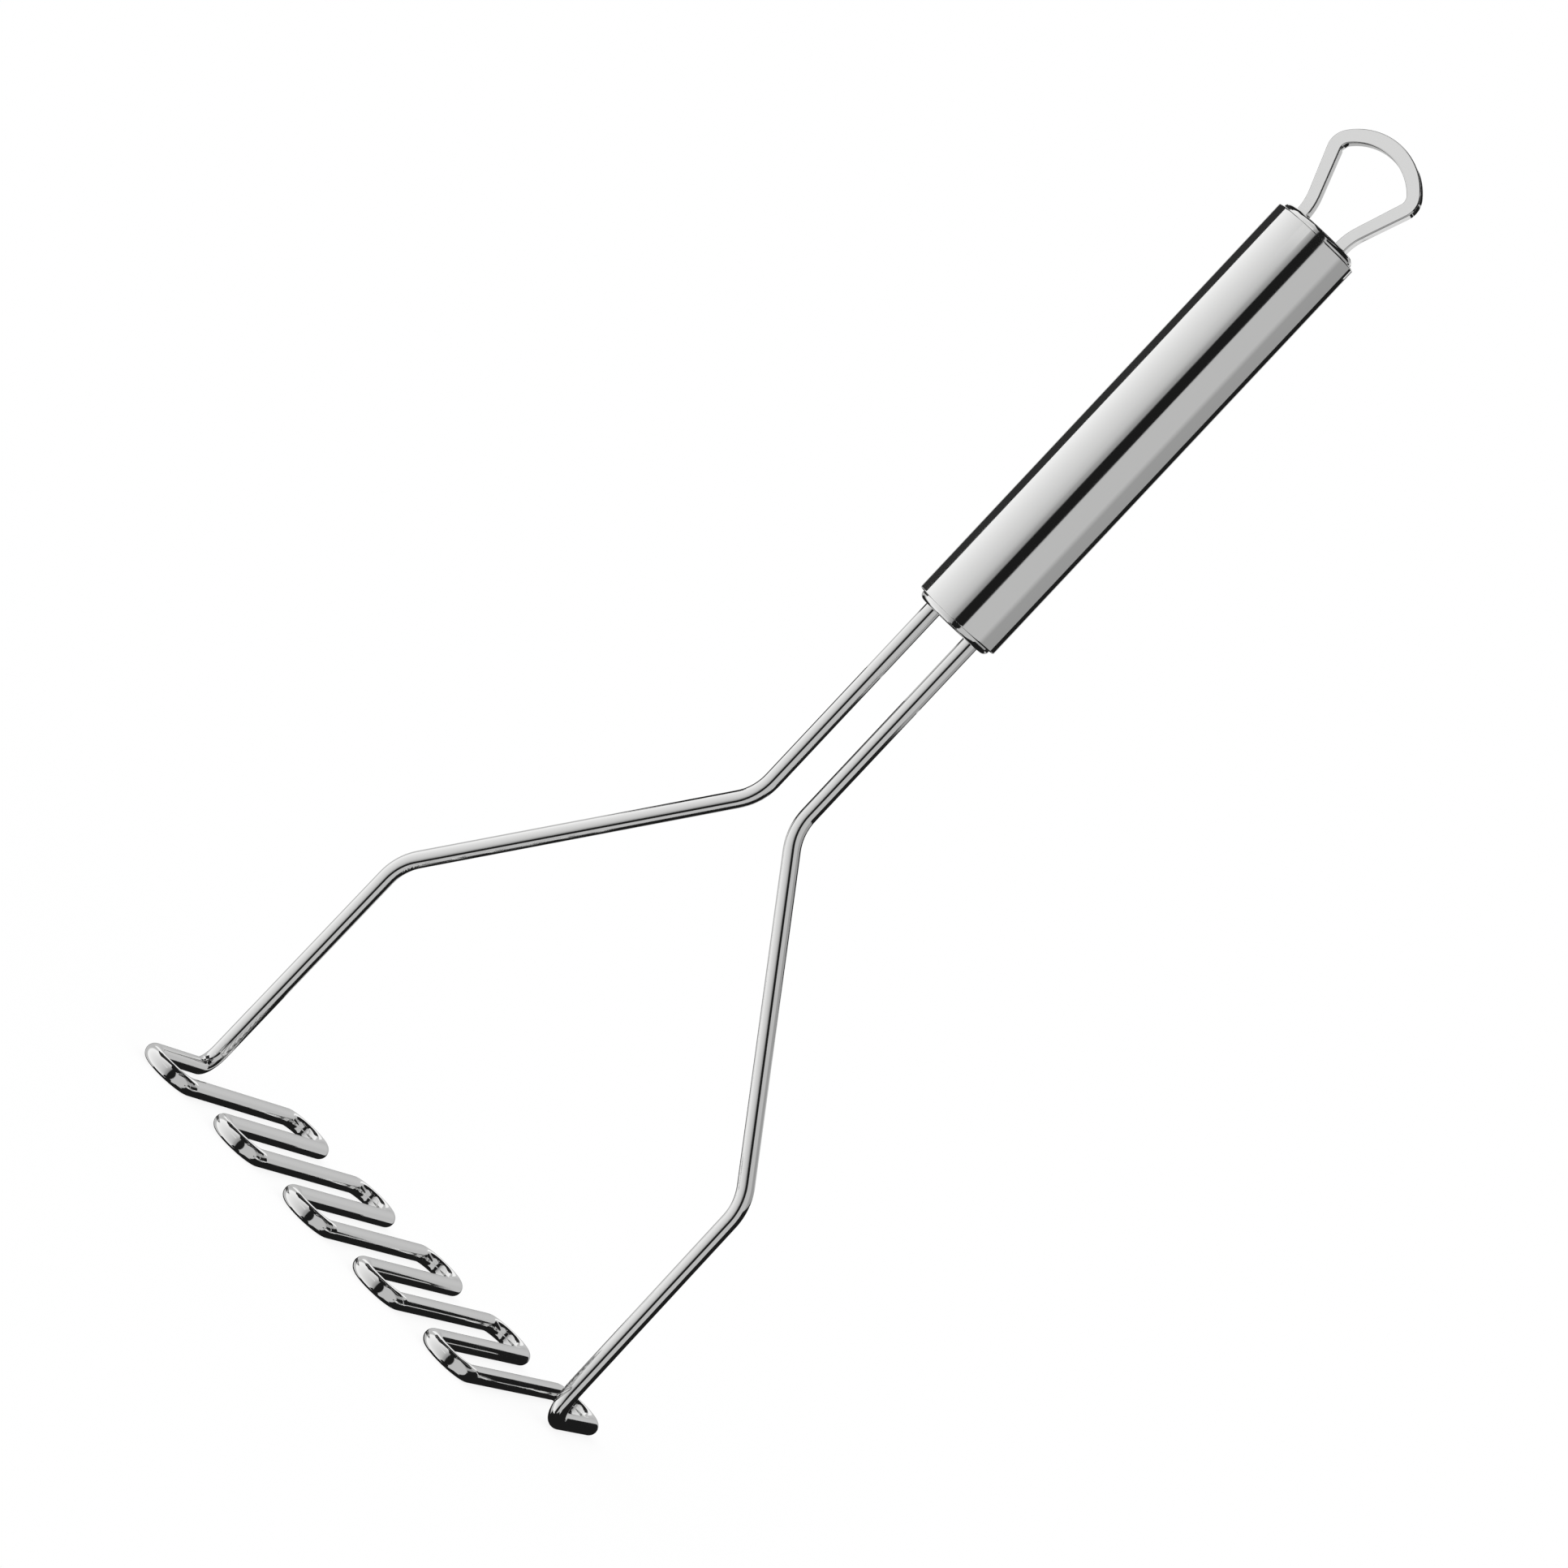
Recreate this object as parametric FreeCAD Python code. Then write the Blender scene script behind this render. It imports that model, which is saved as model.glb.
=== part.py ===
import FreeCAD, Part
import math
import os

# A hand masher: one bent wire makes both legs and the mashing face, a closed tube makes the handle,
# and a flat loop on the handle's end hangs it up. Lengths are in millimetres.
# The mashing face rests on the XY plane, centred on the origin, and the handle stands along +Z.

# Bent wire
wire_diameter = 3.5
turn_count = 10
face_depth = 71.3
leg_spacing = 98.7
left_foot_bend_radius = 4.5
right_foot_bend_radius = 8.0
knee_spacing = 97.5
knee_height = 57.4
knee_bend_radius = 12.0
neck_height = 115.9
neck_bend_radius = 12.0
leg_edge_margin = 0.8
leg_tail = 6.0

# Handle tube
handle_height = 166.7
tube_length = 100.6
tube_diameter = 19.1
tube_wall = 0.9
tube_edge_radius = 0.3

# End caps, pressed into the tube
cap_fit_clearance = 0.05
cap_wall = 1.0
cap_rise = 1.4
cap_shoulder_radius = 1.1
cap_skirt = 5.0
hole_clearance = 0.05

# Hanging loop, a flat piece that widens from its feet to its crest
loop_depth = 3.0
loop_edge_radius = 0.3
loop_width = 21.9
loop_height = 22.3
loop_foot_width = 2.45
loop_shoulder_width = 2.7
loop_crest_width = 3.05
loop_shoulder_height = 14.6
loop_shoulder_radius = 1.9
loop_foot_bend_radius = 11.5
loop_edge_margin = 1.25
loop_tail = 4.0

# Weld beads inside the caps
weld_clearance = 0.1
weld_lip = 0.1

# How far a cutting shape runs past the surface that it cuts
overrun = 1.0

# Sizes that follow from those above
wire_radius = wire_diameter / 2
pitch = leg_spacing / turn_count
turn_radius = pitch / 2
turn_line = face_depth / 2 - wire_radius - turn_radius
tube_radius = tube_diameter / 2
cap_radius = tube_radius - tube_wall - cap_fit_clearance
cap_bore_radius = cap_radius - cap_wall
leg_offset = cap_bore_radius - leg_edge_margin - wire_radius
weld_leg = leg_edge_margin - weld_clearance
lower_floor = handle_height - cap_rise + cap_wall
upper_floor = handle_height + tube_length + cap_rise - cap_wall
loop_base = handle_height + tube_length + cap_rise
foot_offset = cap_bore_radius - loop_edge_margin - loop_foot_width / 2


def vector(x, y, z):
    return FreeCAD.Vector(x, y, z)


def line(start, end):
    return Part.LineSegment(start, end).toShape()


def arc(start, middle, end):
    return Part.Arc(start, middle, end).toShape()


def rounded_run(corners, radii):
    """Straight edges along the corners, joined by a tangent arc at each inner corner."""
    edges = []
    start = corners[0]
    for before, corner, after, radius in zip(corners, corners[1:], corners[2:], radii):
        incoming = (corner - before).normalize()
        outgoing = (after - corner).normalize()
        half_turn = incoming.getAngle(outgoing) / 2
        setback = radius * math.tan(half_turn)
        inward = (outgoing - incoming).normalize()
        arc_start = corner - incoming * setback
        arc_middle = corner + inward * (radius / math.cos(half_turn) - radius)
        arc_end = corner + outgoing * setback
        edges.append(line(start, arc_start))
        edges.append(arc(arc_start, arc_middle, arc_end))
        start = arc_end
    edges.append(line(start, corners[-1]))
    return edges


def rounded_rectangle(centre, width, depth, radius):
    """A closed level outline with rounded corners, starting in the middle of its front side."""
    right = width / 2
    back = depth / 2
    middle = centre + vector(0, -back, 0)
    corners = [
        middle,
        centre + vector(right, -back, 0),
        centre + vector(right, back, 0),
        centre + vector(-right, back, 0),
        centre + vector(-right, -back, 0),
        middle,
    ]
    return Part.Wire(rounded_run(corners, [radius] * 4))


def half_turned(shape):
    """A copy turned half way round the handle's axis."""
    copy = shape.copy()
    copy.rotate(vector(0, 0, 0), vector(0, 0, 1), 180)
    return copy


def swept(path, section):
    return path.makePipeShell([section], True, False)


def leg_edges(foot_bend_radius):
    """The left leg: from inside the handle down to the face, then forward to the first turn."""
    corners = [
        vector(-leg_offset, 0, lower_floor + leg_tail),
        vector(-leg_offset, 0, neck_height),
        vector(-knee_spacing / 2, 0, knee_height),
        vector(-leg_spacing / 2, 0, wire_radius),
        vector(-leg_spacing / 2, -turn_line, wire_radius),
    ]
    return rounded_run(corners, [neck_bend_radius, knee_bend_radius, foot_bend_radius])


def face_edges():
    """The mashing face: half-round turns in front and behind, joined by straight runs."""
    edges = []
    side = -1
    x = -leg_spacing / 2
    for turn in range(turn_count):
        start = vector(x, side * turn_line, wire_radius)
        apex = vector(x + turn_radius, side * (turn_line + turn_radius), wire_radius)
        end = vector(x + pitch, side * turn_line, wire_radius)
        across = vector(x + pitch, -side * turn_line, wire_radius)
        edges.append(arc(start, apex, end))
        if turn < turn_count - 1:
            edges.append(line(end, across))
        x = x + pitch
        side = -side
    return edges


def masher_wire():
    left_leg = leg_edges(left_foot_bend_radius)
    right_leg = [half_turned(edge) for edge in reversed(leg_edges(right_foot_bend_radius))]
    path = Part.Wire(left_leg + face_edges() + right_leg)
    top = vector(-leg_offset, 0, lower_floor + leg_tail)
    section = Part.Wire(Part.makeCircle(wire_radius, top, vector(0, 0, -1)))
    wire = swept(path, section)
    expected = math.pi * wire_radius ** 2 * path.Length
    print("wire length", round(path.Length, 2), "volume over section times length", round(wire.Volume / expected, 5))
    return wire


def handle_tube():
    base = vector(0, 0, handle_height)
    outside = Part.makeCylinder(tube_radius, tube_length, base)
    rims = [edge for edge in outside.Edges if isinstance(edge.Curve, Part.Circle)]
    outside = outside.makeFillet(tube_edge_radius, rims)
    bore = Part.makeCylinder(tube_radius - tube_wall, tube_length + 2 * overrun, base - vector(0, 0, overrun))
    return outside.cut(bore)


def plain_cap(end_height, outward):
    """A pressed cap without holes: a flat crown with a rounded shoulder, and a skirt inside the tube."""

    def point(radius, height):
        return vector(radius, 0, end_height + outward * height)

    shoulder_centre = point(cap_radius - cap_shoulder_radius, cap_rise - cap_shoulder_radius)
    slant = cap_shoulder_radius * math.sqrt(2) / 2
    shoulder_middle = shoulder_centre + vector(slant, 0, outward * slant)
    crown_rim = point(cap_radius - cap_shoulder_radius, cap_rise)
    skirt_top = point(cap_radius, cap_rise - cap_shoulder_radius)
    outline = [
        line(point(0, cap_rise), crown_rim),
        arc(crown_rim, shoulder_middle, skirt_top),
        line(skirt_top, point(cap_radius, -cap_skirt)),
        line(point(cap_radius, -cap_skirt), point(cap_bore_radius, -cap_skirt)),
        line(point(cap_bore_radius, -cap_skirt), point(cap_bore_radius, cap_rise - cap_wall)),
        line(point(cap_bore_radius, cap_rise - cap_wall), point(0, cap_rise - cap_wall)),
        line(point(0, cap_rise - cap_wall), point(0, cap_rise)),
    ]
    return Part.Face(Part.Wire(outline)).revolve(vector(0, 0, 0), vector(0, 0, 1), 360)


def lower_end_cap():
    cap = plain_cap(handle_height, -1)
    start = vector(-leg_offset, 0, lower_floor - cap_wall - overrun)
    hole = Part.makeCylinder(wire_radius + hole_clearance, cap_wall + 2 * overrun, start)
    return cap.cut(hole).cut(half_turned(hole))


def foot_outline(height, growth):
    """A level outline round the loop's right foot, larger than the foot by the growth on every side."""
    width = loop_foot_width + 2 * growth
    depth = loop_depth + 2 * growth
    return rounded_rectangle(vector(foot_offset, 0, height), width, depth, loop_edge_radius + growth)


def foot_prism(bottom, top, growth):
    """A straight bar round the loop's right foot, larger than the foot by the growth on every side."""
    return Part.Face(foot_outline(bottom, growth)).extrude(vector(0, 0, top - bottom))


def upper_end_cap():
    cap = plain_cap(handle_height + tube_length, 1)
    slot = foot_prism(upper_floor - overrun, loop_base + overrun, hole_clearance)
    return cap.cut(slot).cut(half_turned(slot))


def loop_line(foot_x, flare_radius, corner_radius, line_top):
    """One edge line of the loop, foot to foot: a flare and a tight shoulder each side, a wide arc on top."""
    shoulder_x = loop_width / 2 - loop_shoulder_width - loop_shoulder_radius
    shoulder_z = loop_base + loop_shoulder_height
    crest = line_top - corner_radius - shoulder_z
    top_radius = corner_radius + (shoulder_x ** 2 + crest ** 2) / (2 * crest)
    top_z = line_top - top_radius
    flare_x = foot_x + flare_radius
    side_run = flare_x - shoulder_x
    reach = math.hypot(side_run, loop_shoulder_height)
    lean = math.atan2(loop_shoulder_height, side_run) - math.acos((corner_radius + flare_radius) / reach)
    tilt = math.atan2(shoulder_z - top_z, shoulder_x)

    def on_flare(angle):
        return vector(flare_x - flare_radius * math.cos(angle), 0, loop_base + flare_radius * math.sin(angle))

    def on_shoulder(angle):
        across = shoulder_x + corner_radius * math.cos(angle)
        return vector(across, 0, shoulder_z + corner_radius * math.sin(angle))

    right_side = [
        line(vector(foot_x, 0, upper_floor - loop_tail), on_flare(0)),
        arc(on_flare(0), on_flare(lean / 2), on_flare(lean)),
        line(on_flare(lean), on_shoulder(-lean)),
        arc(on_shoulder(-lean), on_shoulder((tilt - lean) / 2), on_shoulder(tilt)),
    ]
    left_side = [half_turned(edge) for edge in reversed(right_side)]
    left_end = vector(-on_shoulder(tilt).x, 0, on_shoulder(tilt).z)
    top = arc(on_shoulder(tilt), vector(0, 0, line_top), left_end)
    return right_side + [top] + left_side


def hanging_loop():
    """A flat piece between an outer and an inner line, with its long edges rounded."""
    outer_x = foot_offset + loop_foot_width / 2
    inner_x = foot_offset - loop_foot_width / 2
    outer_corner = loop_shoulder_radius + loop_shoulder_width
    top = loop_base + loop_height
    outer = loop_line(outer_x, loop_foot_bend_radius, outer_corner, top)
    inner_flare = loop_foot_bend_radius + loop_foot_width
    inner = loop_line(inner_x, inner_flare, loop_shoulder_radius, top - loop_crest_width)
    foot_z = upper_floor - loop_tail
    foot_end = line(vector(inner_x, 0, foot_z), vector(outer_x, 0, foot_z))
    outline = Part.Wire(outer + [half_turned(foot_end)] + inner[::-1] + [foot_end])
    outline.translate(vector(0, -loop_depth / 2, 0))
    plate = Part.Face(outline).extrude(vector(0, loop_depth, 0))

    def runs_along_a_face(edge):
        first = edge.Vertexes[0].Point
        last = edge.Vertexes[-1].Point
        return first.y * last.y > 0 and max(first.z, last.z) > upper_floor

    return plate.makeFillet(loop_edge_radius, [edge for edge in plate.Edges if runs_along_a_face(edge)])


def leg_welds():
    """A fillet bead round each leg, on the lower cap's inner floor."""
    start = vector(-leg_offset, 0, lower_floor)
    bead = Part.makeCone(wire_radius + weld_leg, wire_radius + weld_lip, weld_leg, start)
    bead = bead.cut(Part.makeCylinder(wire_radius, weld_leg, start))
    return Part.makeCompound([bead, half_turned(bead)])


def loop_welds():
    """A fillet bead round each foot of the loop, on the upper cap's inner floor."""
    wide = foot_outline(upper_floor, weld_leg)
    narrow = foot_outline(upper_floor - weld_leg, weld_lip)
    bead = Part.makeLoft([wide, narrow], True, True)
    bead = bead.cut(foot_prism(upper_floor - weld_leg, upper_floor, 0))
    return Part.makeCompound([bead, half_turned(bead)])


nodes = {
    "masher_wire": masher_wire,
    "handle_tube": handle_tube,
    "lower_end_cap": lower_end_cap,
    "upper_end_cap": upper_end_cap,
    "hanging_loop": hanging_loop,
    "leg_welds": leg_welds,
    "loop_welds": loop_welds,
}

os.makedirs("parts", exist_ok=True)
for name, make in nodes.items():
    shape = make()
    shape.exportStep(os.path.join("parts", name + ".step"))
    print(name, "solids", len(shape.Solids), "valid", shape.isValid(), "volume", round(shape.Volume, 1))
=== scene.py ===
"""A hand masher in polished steel: bent wire, tube handle, end caps and hanging loop, in a pale studio."""

import logging
import math
from collections.abc import Sequence
from dataclasses import dataclass
from enum import Enum

import bpy
from mathutils import Matrix, Quaternion, Vector


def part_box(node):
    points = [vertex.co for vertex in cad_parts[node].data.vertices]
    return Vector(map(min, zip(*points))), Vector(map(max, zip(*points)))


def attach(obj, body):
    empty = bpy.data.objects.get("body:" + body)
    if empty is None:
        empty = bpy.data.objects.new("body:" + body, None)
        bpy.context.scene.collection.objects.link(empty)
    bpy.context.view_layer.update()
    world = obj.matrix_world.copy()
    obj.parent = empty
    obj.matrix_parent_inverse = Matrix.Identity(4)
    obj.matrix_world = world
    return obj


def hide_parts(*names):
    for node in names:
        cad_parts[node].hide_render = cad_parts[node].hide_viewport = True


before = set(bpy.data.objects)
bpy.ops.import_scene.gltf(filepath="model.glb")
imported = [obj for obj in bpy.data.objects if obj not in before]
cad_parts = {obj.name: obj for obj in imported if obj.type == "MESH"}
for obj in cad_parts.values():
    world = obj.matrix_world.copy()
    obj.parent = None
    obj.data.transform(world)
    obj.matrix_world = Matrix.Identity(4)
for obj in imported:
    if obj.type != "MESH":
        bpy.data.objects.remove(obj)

LOG = logging.getLogger("masher")
BODY = "root"
UP = Vector((0, 0, 1))
DOWN = -UP
BACK = Vector((0, 1, 0))
MERGE_DISTANCE = 1e-6
SHARP_ANGLE = math.radians(40)
NEARLY_BLACK = 0.012
HALF_TURN_DEGREES = 180.0
FULL_TURN_DEGREES = 360.0

# Where a mix node takes and gives vectors and colours
VECTOR_INPUTS = (4, 5)
VECTOR_OUTPUT = 1
COLOUR_INPUTS = (6, 7)
COLOUR_OUTPUT = 2

Colour = tuple[float, float, float, float]
WHITE: Colour = (1.0, 1.0, 1.0, 1.0)


class Grain(Enum):
    """Which way the fine lines of the polish run."""

    ALONG_HANDLE = "along the handle"
    ROUND_HANDLE = "round the handle"
    ALONG_WIRE = "along the wire"
    EVEN = "no one way"


class Fade(Enum):
    """How a mark goes over into the plain surface."""

    EVEN = "LINEAR"
    SOFT = "SMOOTHSTEP"


class HandleEnd(Enum):
    """The end of the handle that a cap closes, with the way that it faces along the axis."""

    LOWER = -1
    UPPER = 1


# Modelling


def deselect_everything() -> None:
    """Leaves edit mode and clears the selection."""
    if bpy.context.object and bpy.context.object.mode != "OBJECT":
        bpy.ops.object.mode_set(mode="OBJECT")
    bpy.ops.object.select_all(action="DESELECT")


def pick(piece: bpy.types.Object) -> None:
    """Selects one piece alone and makes it the one in hand.

    Args:
        piece: The piece to select.
    """
    deselect_everything()
    piece.select_set(True)
    bpy.context.view_layer.objects.active = piece


def edit_new_primitive() -> None:
    """Puts the place of the primitive that was just added into its mesh, and opens it all selected."""
    bpy.ops.object.transform_apply(location=True, rotation=True, scale=True)
    bpy.ops.object.mode_set(mode="EDIT")
    bpy.ops.mesh.select_all(action="SELECT")


def close_and_leave(name: str) -> bpy.types.Object:
    """Closes what is open in the mesh in hand, turns its faces outwards and names it.

    Args:
        name: The name of the finished piece.

    Returns:
        The finished piece, in object mode.
    """
    bpy.ops.mesh.select_all(action="SELECT")
    bpy.ops.mesh.remove_doubles(threshold=MERGE_DISTANCE)
    bpy.ops.mesh.select_all(action="SELECT")
    bpy.ops.mesh.fill_holes(sides=0)
    bpy.ops.mesh.select_all(action="SELECT")
    bpy.ops.mesh.normals_make_consistent(inside=False)
    bpy.ops.object.mode_set(mode="OBJECT")
    piece = bpy.context.object
    piece.name = name
    piece.data.name = name
    bpy.ops.object.shade_smooth_by_angle(angle=SHARP_ANGLE)
    return piece


def weigh_normals(piece: bpy.types.Object) -> None:
    """Keeps the flat and straight faces of a piece true beside its small rounded edges.

    Args:
        piece: The piece to finish.
    """
    pick(piece)
    bpy.ops.object.modifier_add(type="WEIGHTED_NORMAL")
    weigh = piece.modifiers[-1]
    weigh.keep_sharp = True
    bpy.ops.object.modifier_apply(modifier=weigh.name)


def cut_away(piece: bpy.types.Object, cutter: bpy.types.Object) -> None:
    """Cuts one closed shape out of a piece and deletes the cutting shape.

    Args:
        piece: The piece that is cut.
        cutter: The closed shape that is taken out of it.
    """
    pick(piece)
    bpy.ops.object.modifier_add(type="BOOLEAN")
    cut = piece.modifiers[-1]
    cut.operation = "DIFFERENCE"
    cut.solver = "EXACT"
    cut.object = cutter
    bpy.ops.object.modifier_apply(modifier=cut.name)
    bpy.data.objects.remove(cutter, do_unlink=True)


class Former:
    """Draws a closed section along straight runs and round bends, as a wire former does.

    The rim that was drawn last stays selected, so each step goes on from it.
    """

    def __init__(self, place: Vector, heading: Vector, bend_step: float, guard: float = 0.0) -> None:
        """Sets where the section starts and how finely its bends are drawn.

        Args:
            place: The middle of the first rim.
            heading: The way that the section goes from there.
            bend_step: The most that one step of a bend turns, in radians.
            guard: The length of the short step at each end of a straight run, which keeps the run's
                reflections straight beside a bend.
        """
        self.place = place.copy()
        self.heading = heading.normalized()
        self.bend_step = bend_step
        self.guard = guard

    def round_section(self, radius: float, sides: int) -> None:
        """Starts with a circle square to the heading.

        Args:
            radius: The radius of the circle.
            sides: How many straight sides draw it.
        """
        deselect_everything()
        turn = self.heading.to_track_quat("Z", "Y").to_euler()
        bpy.ops.mesh.primitive_circle_add(vertices=sides, radius=radius, location=self.place, rotation=turn)
        edit_new_primitive()

    def strip_section(self, width: float, depth: float, edge_radius: float, edge_steps: int) -> None:
        """Starts with a level rectangle that has rounded corners.

        Args:
            width: Its size along X.
            depth: Its size along Y.
            edge_radius: The radius of its corners.
            edge_steps: How many straight steps draw one corner.
        """
        deselect_everything()
        bpy.ops.mesh.primitive_plane_add(size=1, location=self.place)
        bpy.context.object.scale = (width, depth, 1)
        edit_new_primitive()
        bpy.ops.mesh.bevel(offset=edge_radius, segments=edge_steps, affect="VERTICES")
        bpy.ops.mesh.select_all(action="SELECT")
        bpy.ops.mesh.delete(type="ONLY_FACE")
        bpy.ops.mesh.select_all(action="SELECT")

    def step(self, length: float) -> None:
        """Draws the rim straight on by one step.

        Args:
            length: The length of the step.
        """
        move = self.heading * length
        bpy.ops.mesh.extrude_region_move(TRANSFORM_OT_translate={"value": move})
        self.place += move

    def feed(self, length: float) -> None:
        """Draws a straight run, with a guard step at each end where it is long enough for them.

        Args:
            length: The length of the run.
        """
        between = length - self.guard * 2
        if self.guard and between > self.guard:
            self.step(self.guard)
            self.step(between)
            self.step(self.guard)
        else:
            self.step(length)

    def bend(self, radius: float, angle: float, axis: Vector) -> None:
        """Draws a bend.

        Args:
            radius: The radius of the section's middle line.
            angle: How far it turns, in radians.
            axis: The axis that it turns about, by the right hand.
        """
        centre = self.place + axis.cross(self.heading) * radius
        steps = max(1, math.ceil(angle / self.bend_step))
        # Spin turns by the left hand, so its axis points the other way.
        bpy.ops.mesh.spin(steps=steps, angle=angle, center=centre, axis=-axis)
        turn = Quaternion(axis, angle)
        self.place = centre + turn @ (self.place - centre)
        self.heading = turn @ self.heading

    def follow(self, corners: Sequence[Vector], radii: Sequence[float]) -> None:
        """Draws straight runs to each corner in turn, with a bend at every corner but the last.

        Args:
            corners: Where the middle lines of the runs meet, and the end of the last run.
            radii: The bend radius at each corner but the last.
        """
        for corner, following, radius in zip(corners, corners[1:], radii):
            outgoing = (following - corner).normalized()
            angle = self.heading.angle(outgoing)
            setback = radius * math.tan(angle / 2)
            self.feed((corner - self.place).length - setback)
            self.bend(radius, angle, self.heading.cross(outgoing).normalized())
        self.feed((corners[-1] - self.place).length)

    def cut_off(self, name: str) -> bpy.types.Object:
        """Closes both ends and gives the finished piece."""
        return close_and_leave(name)


def arc_points(centre: Vector, radius: float, start: float, end: float, step: float) -> list[Vector]:
    """Points along an upright arc, with X to its right and Z up.

    Args:
        centre: The middle of the arc's circle.
        radius: The radius of that circle.
        start: The angle of the first point, from the X axis towards Z, in radians.
        end: The angle of the last point.
        step: The most that one point lies on from the one before, in radians.

    Returns:
        The points, in order.
    """
    count = max(1, math.ceil(abs(end - start) / step))
    angles = [start + (end - start) * index / count for index in range(count + 1)]
    return [centre + Vector((math.cos(angle), 0, math.sin(angle))) * radius for angle in angles]


def cut_plate(name: str, outline: Sequence[Vector], depth: float, edge_radius: float,
              edge_steps: int) -> bpy.types.Object:
    """Draws a closed upright outline, fills it, gives it depth to both sides and rounds its edges.

    Args:
        name: The name of the finished piece.
        outline: The points to draw through, the first one again at the end.
        depth: The size of the plate along Y.
        edge_radius: The radius of its edges.
        edge_steps: How many straight steps draw one rounded edge.

    Returns:
        The finished piece, in object mode.
    """
    deselect_everything()
    # A small square, drawn together into its middle, is the first point of the outline.
    bpy.ops.mesh.primitive_plane_add(size=depth, location=outline[0])
    edit_new_primitive()
    bpy.ops.mesh.merge(type="CENTER")
    for before, after in zip(outline, outline[1:]):
        bpy.ops.mesh.extrude_region_move(TRANSFORM_OT_translate={"value": after - before})
    bpy.ops.mesh.select_all(action="SELECT")
    bpy.ops.mesh.remove_doubles(threshold=MERGE_DISTANCE)
    bpy.ops.mesh.select_all(action="SELECT")
    bpy.ops.mesh.edge_face_add()
    bpy.ops.object.mode_set(mode="OBJECT")
    bpy.ops.object.modifier_add(type="SOLIDIFY")
    plate = bpy.context.object
    solidify = plate.modifiers[-1]
    solidify.thickness = depth
    solidify.offset = 0.0
    bpy.ops.object.modifier_apply(modifier=solidify.name)
    bpy.ops.object.mode_set(mode="EDIT")
    bpy.ops.mesh.select_mode(type="EDGE")
    bpy.ops.mesh.select_all(action="DESELECT")
    bpy.ops.mesh.edges_select_sharp(sharpness=SHARP_ANGLE)
    bpy.ops.mesh.bevel(offset=edge_radius, segments=edge_steps, affect="EDGES")
    bpy.ops.mesh.select_mode(type="VERT")
    piece = close_and_leave(name)
    weigh_normals(piece)
    return piece


class Turner:
    """Stacks rings on the handle's axis, as a turner shapes a round piece."""

    def __init__(self, sides: int, arc_steps: int) -> None:
        """Sets how finely the piece is drawn.

        Args:
            sides: How many sides a ring has.
            arc_steps: How many steps a rounded corner takes.
        """
        self.sides = sides
        self.arc_steps = arc_steps
        self.radius = 0.0
        self.height = 0.0

    def start(self, radius: float, height: float) -> None:
        """Adds the first ring.

        Args:
            radius: The radius of the ring.
            height: Its height on the axis.
        """
        deselect_everything()
        bpy.ops.mesh.primitive_circle_add(vertices=self.sides, radius=radius, location=(0, 0, height))
        edit_new_primitive()
        self.radius, self.height = radius, height

    def ring(self, radius: float, height: float) -> None:
        """Draws the wall on to a ring of another size or height.

        Args:
            radius: The radius of the new ring.
            height: Its height on the axis.
        """
        bpy.ops.mesh.extrude_region_move(TRANSFORM_OT_translate={"value": (0, 0, height - self.height)})
        ratio = radius / self.radius
        bpy.ops.transform.resize(value=(ratio, ratio, 1), center_override=(0, 0, height))
        self.radius, self.height = radius, height

    def corner(self, centre: tuple[float, float], start: float, end: float, size: float) -> None:
        """Draws a rounded corner.

        Args:
            centre: The radius and height of the middle of the corner's arc.
            start: The angle where the arc begins, from the outward radius, in radians.
            end: The angle where it ends.
            size: The arc's own radius.
        """
        for index in range(1, self.arc_steps + 1):
            angle = start + (end - start) * index / self.arc_steps
            self.ring(centre[0] + size * math.cos(angle), centre[1] + size * math.sin(angle))

    def finish(self, name: str) -> bpy.types.Object:
        """Closes the last ring.

        Args:
            name: The name of the finished piece.

        Returns:
            The finished piece, in object mode.
        """
        piece = close_and_leave(name)
        weigh_normals(piece)
        return piece


# Surface effects that the finishes share


@dataclass(frozen=True)
class NoiseMarks:
    """Marks that follow a noise.

    Attributes:
        name: The name of the node group.
        output: The name of the value that it puts out.
        detail: How many finer layers the noise has.
        roughness: How strong the finer layers are.
        distortion: How far the noise is swirled.
        lowest: The noise at and below which there is no mark.
        highest: The noise at and above which the mark is full.
        fade: How the mark goes over from the one to the other.
    """

    name: str
    output: str
    detail: float
    roughness: float
    distortion: float
    lowest: float
    highest: float
    fade: Fade


POLISH_LINES = NoiseMarks(
    name="polish_lines",
    output="Height",
    detail=4.0,
    roughness=0.65,
    distortion=0.0,
    lowest=0.3,
    highest=0.7,
    fade=Fade.EVEN,
)
HAND_SMEARS = NoiseMarks(
    name="hand_smears",
    output="Mask",
    detail=3.0,
    roughness=0.5,
    distortion=0.6,
    lowest=0.42,
    highest=0.72,
    fade=Fade.SOFT,
)


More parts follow.
